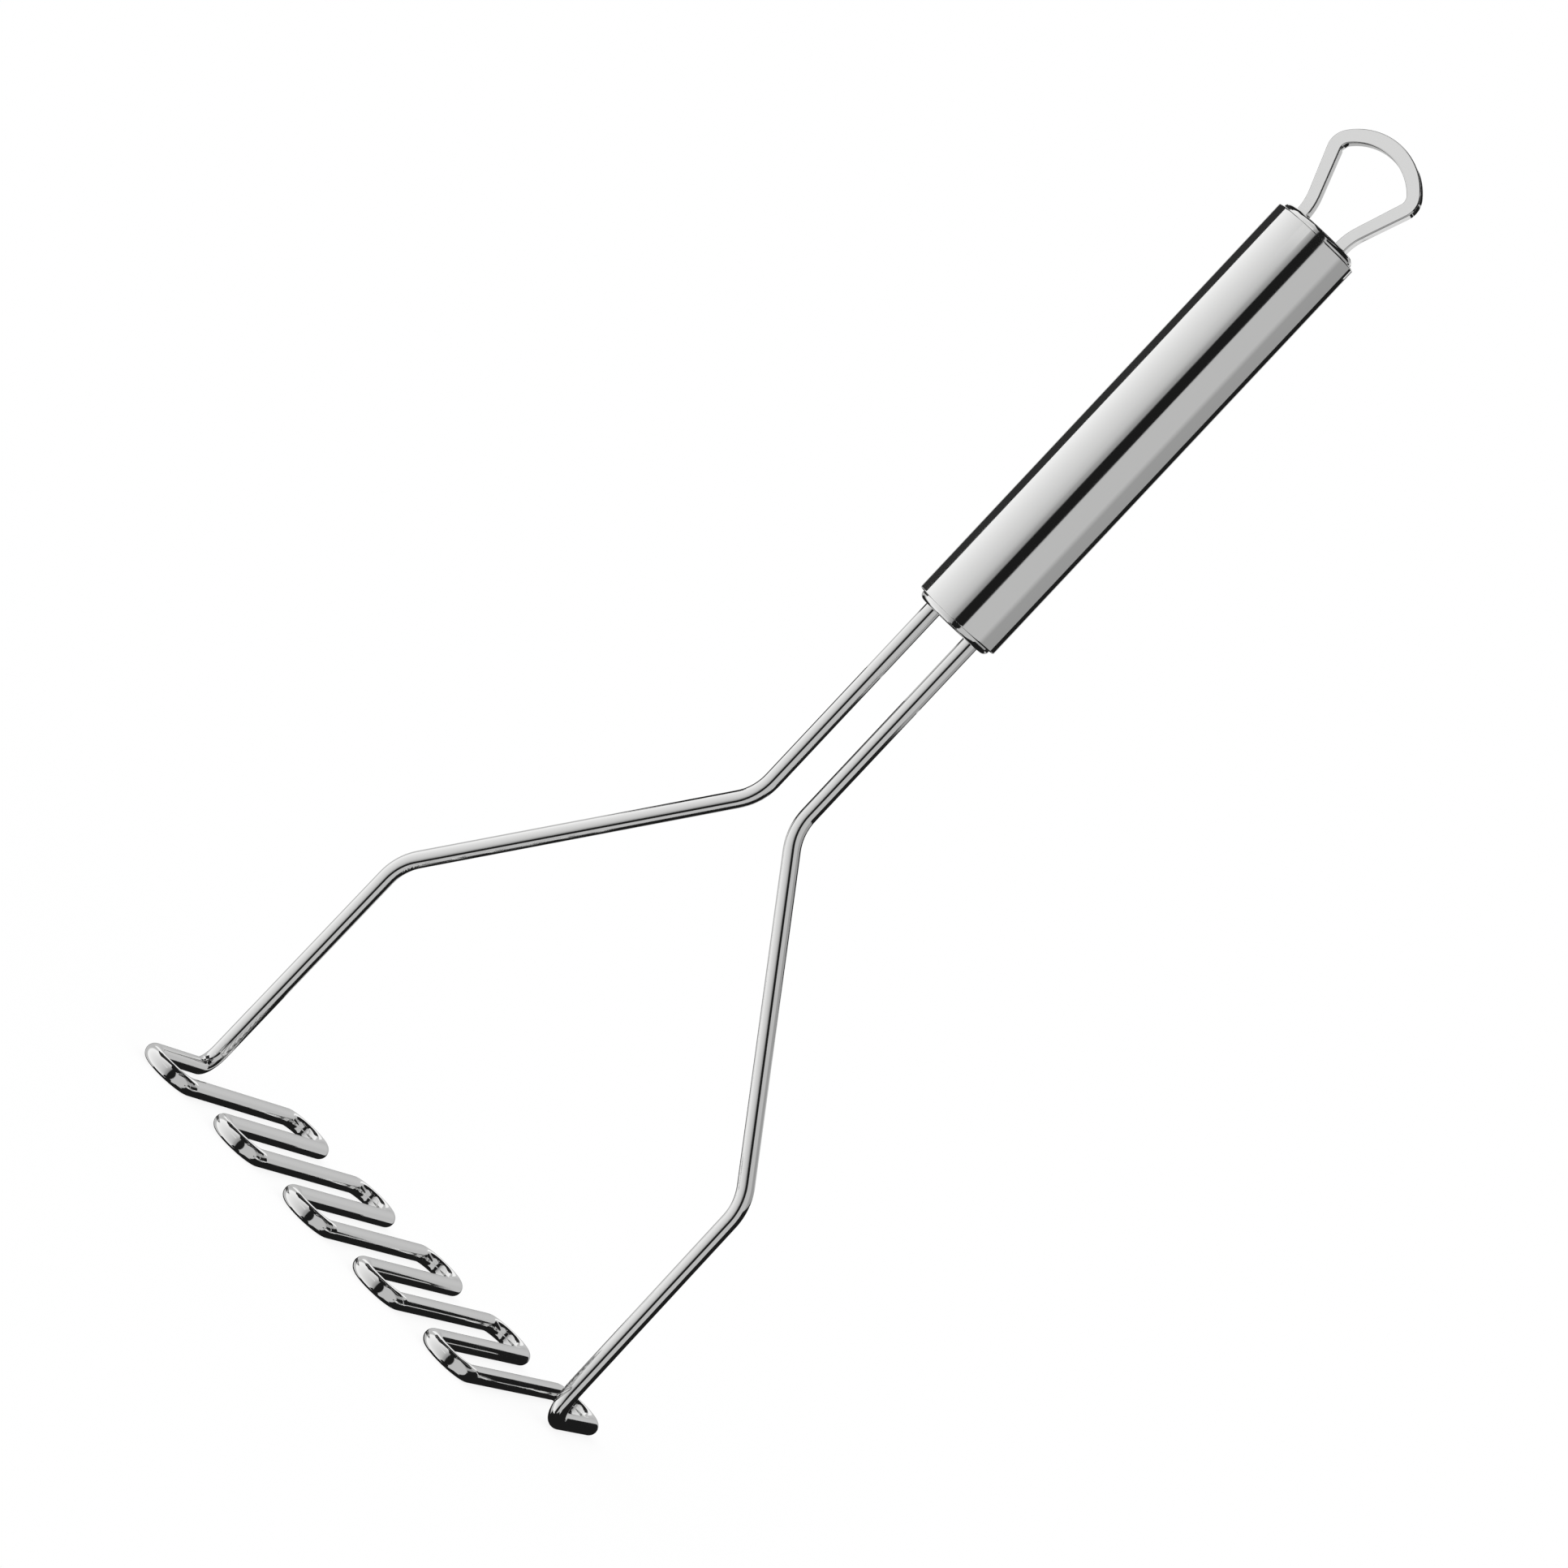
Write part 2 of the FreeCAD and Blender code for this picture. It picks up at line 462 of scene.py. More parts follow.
class Effects:
    """Node groups for marks that more than one finish has, each built once."""

    def __init__(self) -> None:
        """Builds all the groups."""
        self.lines = self.noise_group(POLISH_LINES)
        self.smears = self.noise_group(HAND_SMEARS)
        self.specks = self.dust_specks()

    @staticmethod
    def new_group(name: str, inputs: Sequence[str], output: str) -> bpy.types.NodeTree:
        """Makes a group that takes a place and some plain values and puts out one value.

        Args:
            name: The group's name.
            inputs: The name of each plain input.
            output: The name of the value that it puts out.

        Returns:
            The group, with its input and output nodes and nothing between them.
        """
        group = bpy.data.node_groups.new(name, "ShaderNodeTree")
        group.interface.new_socket("Place", in_out="INPUT", socket_type="NodeSocketVector")
        for title in inputs:
            group.interface.new_socket(title, in_out="INPUT", socket_type="NodeSocketFloat")
        group.interface.new_socket(output, in_out="OUTPUT", socket_type="NodeSocketFloat")
        group.nodes.new("NodeGroupInput").name = "in"
        group.nodes.new("NodeGroupOutput").name = "out"
        return group

    def noise_group(self, marks: NoiseMarks) -> bpy.types.NodeTree:
        """Builds the group for marks that follow a noise.

        Args:
            marks: How the marks are drawn.

        Returns:
            The group, which takes how fine the noise is.
        """
        group = self.new_group(marks.name, ["Fineness"], marks.output)
        source, out = group.nodes["in"], group.nodes["out"]
        noise = group.nodes.new("ShaderNodeTexNoise")
        noise.inputs["Detail"].default_value = marks.detail
        noise.inputs["Roughness"].default_value = marks.roughness
        noise.inputs["Distortion"].default_value = marks.distortion
        spread = group.nodes.new("ShaderNodeMapRange")
        spread.interpolation_type = marks.fade.value
        spread.inputs["From Min"].default_value = marks.lowest
        spread.inputs["From Max"].default_value = marks.highest
        group.links.new(source.outputs["Place"], noise.inputs["Vector"])
        group.links.new(source.outputs["Fineness"], noise.inputs["Scale"])
        group.links.new(noise.outputs["Fac"], spread.inputs["Value"])
        group.links.new(spread.outputs["Result"], out.inputs[marks.output])
        return group

    def dust_specks(self) -> bpy.types.NodeTree:
        """Builds the group for a few small dark pits, in a share of the cells that it draws.

        Returns:
            The group, which takes how fine the cells are, the size of a pit and the share of the cells.
        """
        group = self.new_group("dust_specks", ["Fineness", "Size", "Share"], "Mask")
        source, out = group.nodes["in"], group.nodes["out"]
        cells = group.nodes.new("ShaderNodeTexVoronoi")
        near = group.nodes.new("ShaderNodeMath")
        near.operation = "LESS_THAN"
        chosen = group.nodes.new("ShaderNodeMath")
        chosen.operation = "LESS_THAN"
        both = group.nodes.new("ShaderNodeMath")
        both.operation = "MULTIPLY"
        split = group.nodes.new("ShaderNodeSeparateColor")
        group.links.new(source.outputs["Place"], cells.inputs["Vector"])
        group.links.new(source.outputs["Fineness"], cells.inputs["Scale"])
        group.links.new(cells.outputs["Distance"], near.inputs[0])
        group.links.new(source.outputs["Size"], near.inputs[1])
        group.links.new(cells.outputs["Color"], split.inputs["Color"])
        group.links.new(split.outputs["Red"], chosen.inputs[0])
        group.links.new(source.outputs["Share"], chosen.inputs[1])
        group.links.new(near.outputs["Value"], both.inputs[0])
        group.links.new(chosen.outputs["Value"], both.inputs[1])
        group.links.new(both.outputs["Value"], out.inputs["Mask"])
        return group


# Finishes


class MetalMaterial:
    """A new metal material, with the steps that more than one finish takes."""

    def __init__(self, name: str) -> None:
        """Makes the material.

        Args:
            name: The material's name.
        """
        self.made = bpy.data.materials.new(name)
        self.made.use_nodes = True
        self.nodes = self.made.node_tree.nodes
        self.links = self.made.node_tree.links
        self.shader = self.nodes["Principled BSDF"]
        self.shader.inputs["Metallic"].default_value = 1.0
        self.place = self.nodes.new("ShaderNodeTexCoord").outputs["Object"]

    def effect(self, group: bpy.types.NodeTree, place: bpy.types.NodeSocket,
               values: dict[str, float]) -> bpy.types.NodeSocket:
        """Lays a shared effect on the metal.

        Args:
            group: The effect's node group.
            place: The place that it reads.
            values: Its plain inputs, by name.

        Returns:
            The value that it puts out.
        """
        node = self.nodes.new("ShaderNodeGroup")
        node.node_tree = group
        for title, value in values.items():
            node.inputs[title].default_value = value
        self.links.new(place, node.inputs["Place"])
        return node.outputs[0]

    def colour(self, mask: bpy.types.NodeSocket, plain: Colour, marked: Colour) -> None:
        """Colours the metal.

        Args:
            mask: Where it is marked.
            plain: Its colour where it isn't.
            marked: Its colour where it is.
        """
        mix = self.nodes.new("ShaderNodeMix")
        mix.data_type = "RGBA"
        for index, tint in zip(COLOUR_INPUTS, (plain, marked)):
            mix.inputs[index].default_value = tint
        self.links.new(mask, mix.inputs["Factor"])
        self.links.new(mix.outputs[COLOUR_OUTPUT], self.shader.inputs["Base Color"])

    def relief(self, height: bpy.types.NodeSocket, depth: float) -> None:
        """Gives the metal a fine relief.

        Args:
            height: Where it is high and where it is low.
            depth: The difference between the two.
        """
        bump = self.nodes.new("ShaderNodeBump")
        bump.inputs["Distance"].default_value = depth
        self.links.new(height, bump.inputs["Height"])
        self.links.new(bump.outputs["Normal"], self.shader.inputs["Normal"])


@dataclass(frozen=True)
class SteelFinish:
    """Polished steel: a bright metal with fine polish lines, soft smears and a few specks."""

    name: str
    grain: Grain
    tint: Colour = (0.87, 0.87, 0.865, 1.0)
    speck_tint: Colour = (0.12, 0.115, 0.11, 1.0)
    roughness: float = 0.045
    smear_roughness: float = 0.04
    line_roughness: float = 0.015
    line_depth: float = 1.0e-6
    lines_per_metre: float = 2500.0
    stretch_share: float = 0.02
    smears_per_metre: float = 45.0
    specks_per_metre: float = 260.0
    speck_size: float = 0.09
    speck_share: float = 0.02
    wire_bend_height: float = 0.008

    def stretched(self, metal: MetalMaterial, along: Vector) -> bpy.types.NodeSocket:
        """Squeezes the place along one direction, which draws a pattern out that way.

        Args:
            metal: The material in hand.
            along: The direction, as a unit vector on one axis.

        Returns:
            The squeezed place.
        """
        mapping = metal.nodes.new("ShaderNodeMapping")
        mapping.inputs["Scale"].default_value = Vector((1, 1, 1)) - along * (1 - self.stretch_share)
        metal.links.new(metal.place, mapping.inputs["Vector"])
        return mapping.outputs["Vector"]

    def round_handle(self, metal: MetalMaterial) -> bpy.types.NodeSocket:
        """Gives the same place to all that lies on one ring round the handle's axis.

        Args:
            metal: The material in hand.

        Returns:
            A place that holds the ring's radius and its height.
        """
        flat = metal.nodes.new("ShaderNodeVectorMath")
        flat.operation = "MULTIPLY"
        flat.inputs[1].default_value = (1, 1, 0)
        metal.links.new(metal.place, flat.inputs[0])
        radius = metal.nodes.new("ShaderNodeVectorMath")
        radius.operation = "LENGTH"
        metal.links.new(flat.outputs["Vector"], radius.inputs[0])
        split = metal.nodes.new("ShaderNodeSeparateXYZ")
        metal.links.new(metal.place, split.inputs["Vector"])
        join = metal.nodes.new("ShaderNodeCombineXYZ")
        metal.links.new(radius.outputs["Value"], join.inputs["X"])
        metal.links.new(split.outputs["Z"], join.inputs["Z"])
        return join.outputs["Vector"]

    def along_wire(self, metal: MetalMaterial) -> bpy.types.NodeSocket:
        """Draws a pattern out along the runs of the face, and upwards on the legs above them.

        Args:
            metal: The material in hand.

        Returns:
            The squeezed place.
        """
        split = metal.nodes.new("ShaderNodeSeparateXYZ")
        metal.links.new(metal.place, split.inputs["Vector"])
        above = metal.nodes.new("ShaderNodeMath")
        above.operation = "GREATER_THAN"
        above.inputs[1].default_value = self.wire_bend_height
        metal.links.new(split.outputs["Z"], above.inputs[0])
        choose = metal.nodes.new("ShaderNodeMix")
        choose.data_type = "VECTOR"
        metal.links.new(above.outputs["Value"], choose.inputs["Factor"])
        for index, along in zip(VECTOR_INPUTS, (BACK, UP)):
            metal.links.new(self.stretched(metal, along), choose.inputs[index])
        return choose.outputs[VECTOR_OUTPUT]

    def grained(self, metal: MetalMaterial) -> bpy.types.NodeSocket:
        """Gives the place that the polish lines read, drawn out along the grain.

        Args:
            metal: The material in hand.

        Returns:
            The place.
        """
        if self.grain is Grain.ALONG_HANDLE:
            return self.stretched(metal, UP)
        if self.grain is Grain.ROUND_HANDLE:
            return self.round_handle(metal)
        if self.grain is Grain.ALONG_WIRE:
            return self.along_wire(metal)
        return metal.place

    def material(self, effects: Effects) -> bpy.types.Material:
        """Builds the material.

        Args:
            effects: The shared node groups.

        Returns:
            The finished material.
        """
        metal = MetalMaterial(self.name)
        lines = metal.effect(effects.lines, self.grained(metal), {"Fineness": self.lines_per_metre})
        smears = metal.effect(effects.smears, metal.place, {"Fineness": self.smears_per_metre})
        pits = {"Fineness": self.specks_per_metre, "Size": self.speck_size, "Share": self.speck_share}
        metal.colour(metal.effect(effects.specks, metal.place, pits), self.tint, self.speck_tint)

        smeared = metal.nodes.new("ShaderNodeMath")
        smeared.operation = "MULTIPLY_ADD"
        smeared.inputs[1].default_value = self.smear_roughness
        smeared.inputs[2].default_value = self.roughness
        metal.links.new(smears, smeared.inputs[0])
        dulled = metal.nodes.new("ShaderNodeMath")
        dulled.operation = "MULTIPLY_ADD"
        dulled.inputs[1].default_value = self.line_roughness
        metal.links.new(lines, dulled.inputs[0])
        metal.links.new(smeared.outputs["Value"], dulled.inputs[2])
        metal.links.new(dulled.outputs["Value"], metal.shader.inputs["Roughness"])
        metal.relief(lines, self.line_depth)
        return metal.made


@dataclass(frozen=True)
class WeldFinish:
    """Weld metal left as it cooled: dull, rippled and tinted by the heat in patches."""

    name: str = "weld_metal"
    cool_tint: Colour = (0.5, 0.48, 0.45, 1.0)
    heat_tint: Colour = (0.34, 0.25, 0.16, 1.0)
    roughness: float = 0.38
    patches_per_metre: float = 600.0
    ripples_per_metre: float = 1800.0
    ripple_depth: float = 4.0e-5

    def material(self, effects: Effects) -> bpy.types.Material:
        """Builds the material.

        Args:
            effects: The shared node groups.

        Returns:
            The finished material.
        """
        metal = MetalMaterial(self.name)
        metal.shader.inputs["Roughness"].default_value = self.roughness
        patches = metal.effect(effects.smears, metal.place, {"Fineness": self.patches_per_metre})
        metal.colour(patches, self.cool_tint, self.heat_tint)
        ripples = metal.effect(effects.lines, metal.place, {"Fineness": self.ripples_per_metre})
        metal.relief(ripples, self.ripple_depth)
        return metal.made


# Pieces of the masher


def seat(piece: bpy.types.Object, node: str, material: bpy.types.Material) -> None:
    """Puts a finished piece in the place of its node and dresses it.

    Args:
        piece: The finished piece.
        node: The node of the frame that it stands for.
        material: What it is dressed in.
    """
    piece.data.materials.clear()
    piece.data.materials.append(material)
    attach(piece, BODY)
    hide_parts(node)
    LOG.info("%s stands for %s, with %d faces", piece.name, node, len(piece.data.polygons))


@dataclass
class MasherWire:
    """One bent wire that makes both legs and the mashing face."""

    diameter: float = 0.0035
    turn_count: int = 10
    left_foot_bend_radius: float = 0.0045
    right_foot_bend_radius: float = 0.008
    knee_spacing: float = 0.0975
    knee_height: float = 0.0574
    knee_bend_radius: float = 0.012
    neck_height: float = 0.1159
    neck_bend_radius: float = 0.012
    leg_offset: float = 0.00505
    sides: int = 48
    bend_step: float = math.radians(4)
    guard: float = 0.0003
    finish: SteelFinish = SteelFinish("polished_wire", Grain.ALONG_WIRE)

    def build(self) -> bpy.types.Object:
        """Bends the wire from inside the handle, down one leg, through the face and up the other leg.

        Returns:
            The wire as one closed mesh.
        """
        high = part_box("masher_wire")[1]
        radius = self.diameter / 2
        half_spacing = high.x - radius
        turn_radius = half_spacing / self.turn_count
        turn_line = high.y - radius - turn_radius
        top = Vector((-self.leg_offset, 0, high.z))
        left = [
            Vector((-self.leg_offset, 0, self.neck_height)),
            Vector((-self.knee_spacing / 2, 0, self.knee_height)),
            Vector((-half_spacing, 0, radius)),
            Vector((-half_spacing, -turn_line, radius)),
        ]
        half_turn = Matrix.Rotation(math.pi, 3, UP)
        right = [half_turn @ corner for corner in [*reversed(left[:-1]), top]]

        former = Former(top, DOWN, self.bend_step, self.guard)
        former.round_section(radius, self.sides)
        former.follow(left, [self.neck_bend_radius, self.knee_bend_radius, self.left_foot_bend_radius])
        for turn in range(self.turn_count):
            former.bend(turn_radius, math.pi, UP if turn % 2 == 0 else DOWN)
            if turn < self.turn_count - 1:
                former.feed(turn_line * 2)
        former.follow(right, [self.right_foot_bend_radius, self.knee_bend_radius, self.neck_bend_radius])
        return former.cut_off("bent_wire")

    def dress(self, effects: Effects) -> None:
        """Builds the wire and gives it its finish."""
        seat(self.build(), "masher_wire", self.finish.material(effects))


@dataclass
class HandleTube:
    """The straight hollow tube that the hand holds."""

    wall: float = 0.0009
    edge_radius: float = 0.0003
    sides: int = 160
    arc_steps: int = 6
    finish: SteelFinish = SteelFinish("polished_tube", Grain.ALONG_HANDLE)

    def build(self) -> bpy.types.Object:
        """Turns the outside with its two rounded rims, then the bore.

        Returns:
            The tube as one closed wall.
        """
        low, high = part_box("handle_tube")
        outside = high.x
        bore = outside - self.wall
        rim = outside - self.edge_radius
        quarter = math.pi / 2
        turner = Turner(self.sides, self.arc_steps)
        turner.start(bore, low.z)
        turner.ring(rim, low.z)
        turner.corner((rim, low.z + self.edge_radius), -quarter, 0, self.edge_radius)
        turner.ring(outside, high.z - self.edge_radius)
        turner.corner((rim, high.z - self.edge_radius), 0, quarter, self.edge_radius)
        turner.ring(bore, high.z)
        turner.ring(bore, low.z)
        return turner.finish("handle_sleeve")

    def dress(self, effects: Effects) -> None:
        """Builds the tube and gives it its finish."""
        seat(self.build(), "handle_tube", self.finish.material(effects))


@dataclass
class HangingLoop:
    """The flat loop on the handle's end, with both feet in the upper cap."""

    depth: float = 0.003
    edge_radius: float = 0.0003
    edge_steps: int = 4
    foot_width: float = 0.00245
    shoulder_width: float = 0.0027
    crest_width: float = 0.00305
    shoulder_height: float = 0.0146
    shoulder_radius: float = 0.0019
    foot_bend_radius: float = 0.0115
    foot_offset: float = 0.005125
    bend_step: float = math.radians(4)
    finish: SteelFinish = SteelFinish("polished_loop", Grain.EVEN)

    def half_line(self, foot_x: float, flare_radius: float, corner_radius: float,
                  top: float) -> list[Vector]:
        """Points along one edge line of the loop, from the right foot's lower end to the crest.

        Args:
            foot_x: Where the line stands at the foot.
            flare_radius: The radius with which it leaves the foot.
            corner_radius: Its radius at the shoulder.
            top: Its height at the crest.

        Returns:
            The points, in order.
        """
        low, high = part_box("hanging_loop")
        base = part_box("upper_end_cap")[1].z
        shoulder_x = high.x - self.shoulder_width - self.shoulder_radius
        shoulder_z = base + self.shoulder_height
        crest = top - corner_radius - shoulder_z
        top_radius = corner_radius + (shoulder_x ** 2 + crest ** 2) / (2 * crest)
        tilt = math.atan2(shoulder_z - top + top_radius, shoulder_x)
        side_run = foot_x + flare_radius - shoulder_x
        reach = math.hypot(side_run, self.shoulder_height)
        upward = math.atan2(self.shoulder_height, side_run)
        lean = upward - math.acos((corner_radius + flare_radius) / reach)
        flare_centre = Vector((foot_x + flare_radius, 0, base))
        shoulder_centre = Vector((shoulder_x, 0, shoulder_z))
        crest_centre = Vector((0, 0, top - top_radius))
        return [
            Vector((foot_x, 0, low.z)),
            *arc_points(flare_centre, flare_radius, math.pi, math.pi - lean, self.bend_step),
            *arc_points(shoulder_centre, corner_radius, -lean, tilt, self.bend_step),
            *arc_points(crest_centre, top_radius, tilt, math.pi / 2, self.bend_step),
        ]

    def build(self) -> bpy.types.Object:
        """Cuts the loop out between its outer and its inner line and rounds its edges.

        Returns:
            The loop as one closed mesh.
        """
        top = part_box("hanging_loop")[1].z
        half_foot = self.foot_width / 2
        outer = self.half_line(
            self.foot_offset + half_foot,
            self.foot_bend_radius,
            self.shoulder_radius + self.shoulder_width,
            top,
        )
        inner = self.half_line(
            self.foot_offset - half_foot,
            self.foot_bend_radius + self.foot_width,
            self.shoulder_radius,
            top - self.crest_width,
        )
        mirror = Matrix.Diagonal((-1, 1, 1))
        outer_left = [mirror @ place for place in reversed(outer)]
        inner_left = [mirror @ place for place in inner]
        outline = [*outer, *outer_left, *inner_left, *reversed(inner), outer[0]]
        return cut_plate("hanging_strip", outline, self.depth, self.edge_radius, self.edge_steps)

    def dress(self, effects: Effects) -> None:
        """Builds the loop and gives it its finish."""
        seat(self.build(), "hanging_loop", self.finish.material(effects))


@dataclass
class EndCap:
    """A pressed cap in one end of the tube, with two openings in its crown."""

    end: HandleEnd
    wall: float = 0.001
    shoulder_radius: float = 0.0011
    hole_clearance: float = 0.00005
    cut_overrun: float = 0.001
    sides: int = 160
    arc_steps: int = 8
    hole_sides: int = 48
    finish: SteelFinish = SteelFinish("polished_cap", Grain.ROUND_HANDLE)

    @property
    def node(self) -> str:
        """The node of the frame that the cap stands for."""
        return "upper_end_cap" if self.end is HandleEnd.UPPER else "lower_end_cap"

    def blank(self, name: str) -> bpy.types.Object:
        """Turns the cap without its openings: crown, rounded shoulder and skirt.

        Args:
            name: The name of the finished piece.

        Returns:
            The cap as one closed wall.
        """
        low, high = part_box(self.node)
        outward = self.end.value
        outside = high.x
        crown, skirt = (high.z, low.z) if self.end is HandleEnd.UPPER else (low.z, high.z)
        rim = outside - self.shoulder_radius
        bore = outside - self.wall
        shoulder = crown - outward * self.shoulder_radius
        turner = Turner(self.sides, self.arc_steps)
        turner.start(rim, crown)
        turner.corner((rim, shoulder), outward * math.pi / 2, 0, self.shoulder_radius)
        turner.ring(outside, skirt)
        turner.ring(bore, skirt)
        turner.ring(bore, crown - outward * self.wall)
        return turner.finish(name)

    def build(self, wire: MasherWire, loop: HangingLoop) -> bpy.types.Object:
        """Turns the cap and cuts its two openings.

        Args:
            wire: The wire whose legs go through the lower cap.
            loop: The loop whose feet go through the upper cap.

        Returns:
            The finished cap.
        """
        piece = self.blank("upper_cap" if self.end is HandleEnd.UPPER else "lower_cap")
        low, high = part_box(self.node)
        inner = high.z - self.wall if self.end is HandleEnd.UPPER else low.z
        start = inner - self.cut_overrun
        length = self.wall + self.cut_overrun * 2
        for side in (-1, 1):
            if self.end is HandleEnd.UPPER:
                former = Former(Vector((side * loop.foot_offset, 0, start)), UP, loop.bend_step)
                growth = self.hole_clearance * 2
                corner = loop.edge_radius + self.hole_clearance
                former.strip_section(loop.foot_width + growth, loop.depth + growth, corner, loop.edge_steps)
            else:
                former = Former(Vector((side * wire.leg_offset, 0, start)), UP, wire.bend_step)
                former.round_section(wire.diameter / 2 + self.hole_clearance, self.hole_sides)
            former.feed(length)
            cut_away(piece, former.cut_off("opening_cutter"))
        return piece

    def dress(self, effects: Effects, wire: MasherWire, loop: HangingLoop) -> None:
        """Builds the cap and gives it its finish."""
        seat(self.build(wire, loop), self.node, self.finish.material(effects))


@dataclass
class WeldBeads:
    """The beads inside the caps, which keep their solid shape."""

    nodes: tuple[str, ...] = ("leg_welds", "loop_welds")
    finish: WeldFinish = WeldFinish()

    def dress(self, effects: Effects) -> None:
        """Gives the beads their finish.

        Args:
            effects: The shared node groups.
        """
        material = self.finish.material(effects)
        for name in self.nodes:
            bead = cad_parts[name]
            bead.data.materials.clear()
            bead.data.materials.append(material)
            LOG.info("%s keeps its own shape", name)


# Studio


@dataclass(frozen=True)
class Tone:
    """How bright the studio wall is in one direction, in degrees to the right of the camera."""

    bearing: float
    light: float

    @property
    def round_share(self) -> float:
        """How far round the wall the tone lies, from behind the object by its left, front and right."""
        return (self.bearing + HALF_TURN_DEGREES) / FULL_TURN_DEGREES


@dataclass(frozen=True)
class Card:
    """A flat card near the object, facing a point on the handle's axis, which only reflections show.

    Attributes:
        name: Its name.
        bearing: Where it stands from that point, in degrees to the right of the camera.
        elevation: How far above the level of that point it stands, in degrees.
        distance: How far it stands from that point.
        aim_height: The height of that point.
        width: Its size from side to side.
        tall: Its size from its lower to its upper edge.
        low_light: How bright it is at its lower edge.
        high_light: How bright it is at its upper edge.
    """

    name: str
    bearing: float
    elevation: float
    distance: float
    aim_height: float
    width: float
    tall: float
    low_light: float = NEARLY_BLACK
    high_light: float = NEARLY_BLACK


@dataclass
class Studio:
    """A pale floor, a soft even light, the wall and cards that the metal reflects, and the camera."""

    aim_height: float = 0.14675
    azimuth: float = math.radians(15.9833)
    elevation: float = math.radians(3.6694)
    roll: float = math.radians(-43.167)
    distance: float = 1.30676
    slide_right: float = -0.0196086
    slide_up: float = -0.0168889
    lens: float = 155.85
    sensor: float = 36.0
    floor_size: float = 12.0
    floor_tint: Colour = (0.15, 0.15, 0.15, 1.0)
    floor_glow: float = 0.85
    floor_roughness: float = 1.0
    floor_gloss: float = 0.0
    world_light: float = 1.0
    wall_radius: float = 0.9
    wall_reach: float = 5.0
    wall_sides: int = 128
    wall_tones: tuple[Tone, ...] = (
        Tone(-180, 0.55),
        Tone(-127, 0.55),
        Tone(-117, 1.02),
        Tone(-42, 0.7),
        Tone(-25, 0.59),
        Tone(-19, 0.51),
        Tone(-14, 0.39),
        Tone(-7, 0.29),
        Tone(-5, NEARLY_BLACK),
        Tone(18, NEARLY_BLACK),
        Tone(20, 0.55),
        Tone(72, 0.55),
        Tone(86, 0.36),
        Tone(130, 0.35),
        Tone(138, 0.55),
        Tone(180, 0.55),
    )
    cards: tuple[Card, ...] = (
        Card("dark_card_left", -136.5, 0, 0.16, 0.2305, 0.138, 0.145, 0.03, 0.03),
        Card("dark_card_right", 143.3, 0, 0.16, 0.21175, 0.093, 0.1385),
        Card("cap_card_left", -150, -30, 0.08, 0.1655, 0.06, 0.045),
        Card("cap_card_right", 150, -30, 0.08, 0.1655, 0.06, 0.045),
        Card("low_card_left", -168.5, 0, 0.25, -0.165, 0.167, 0.3),
        Card("low_card_right", 150, 0, 0.25, -0.165, 0.4, 0.3),
        Card("side_card_right", 107, 0, 0.5, -0.24, 0.62, 0.72),
        Card("upper_card_right", 75, 0, 0.12, 0.357, 0.3, 0.14),
        Card("upper_roof_right", 80, 75, 0.14, 0.268, 0.2, 0.09),
        Card("face_card_right", 107, 0, 0.13, -0.02, 0.2, 0.2),
        Card("toe_card", 131, 0, 0.125, 0.0075, 0.035, 0.055),
        Card("tip_card_left", -128, 0, 0.3, 0.445, 0.24, 0.31),
        Card("back_card", 180, 0, 0.8, 0.12, 0.9, 0.42, 0.41, 0.62),
        Card("back_light", 186, 0, 0.7, 0.61, 0.8, 0.56, 1.0, 1.0),
        Card("loop_light", -32, 0, 0.8, 0.375, 0.35, 0.15, 0.76, 0.76),
        Card("loop_side_light", 137.4, 0, 0.0416, 0.273, 0.0068, 0.0128, 0.75, 0.75),
        Card("loop_side_dark", 144.6, 0, 0.1219, 0.297, 0.02, 0.028),
        Card("loop_crest_dark", 159, 0, 0.1154, 0.3185, 0.06, 0.013),
        Card("front_ceiling", 4, 76, 1.0, 0.0, 0.36, 0.55),
        Card("front_ground", 4, -76, 1.0, 0.0, 0.36, 0.55),
        Card("dark_ceiling", 180, 68, 1.0, 0.0, 2.4, 0.8),
        Card("dark_ground", 150, -60, 0.8, 0.0, 1.1, 0.92),
    )

    def direction(self, bearing: float) -> Vector:
        """The level direction at a bearing in degrees to the right of the camera."""
        angle = self.azimuth - math.pi / 2 + math.radians(bearing)
        return Vector((math.cos(angle), math.sin(angle), 0))

    @staticmethod
    def show_in_reflections_only(backdrop: bpy.types.Object) -> None:
        """Hides the wall or a card from everything but the reflections of the metal.

        Args:
            backdrop: The wall or the card.
        """
        backdrop.visible_camera = False
        backdrop.visible_diffuse = False
        backdrop.visible_shadow = False
        backdrop.visible_transmission = False
        backdrop.visible_volume_scatter = False

    @staticmethod
    def glow(name: str) -> bpy.types.Material:
        """Makes a material that shines evenly.

        Args:
            name: The material's name.

        Returns:
            The material, with its emission still plain white.
        """
        made = bpy.data.materials.new(name)
        made.use_nodes = True
        nodes, links = made.node_tree.nodes, made.node_tree.links
        nodes.remove(nodes["Principled BSDF"])
        shine = nodes.new("ShaderNodeEmission")
        links.new(shine.outputs["Emission"], nodes["Material Output"].inputs["Surface"])
        return made

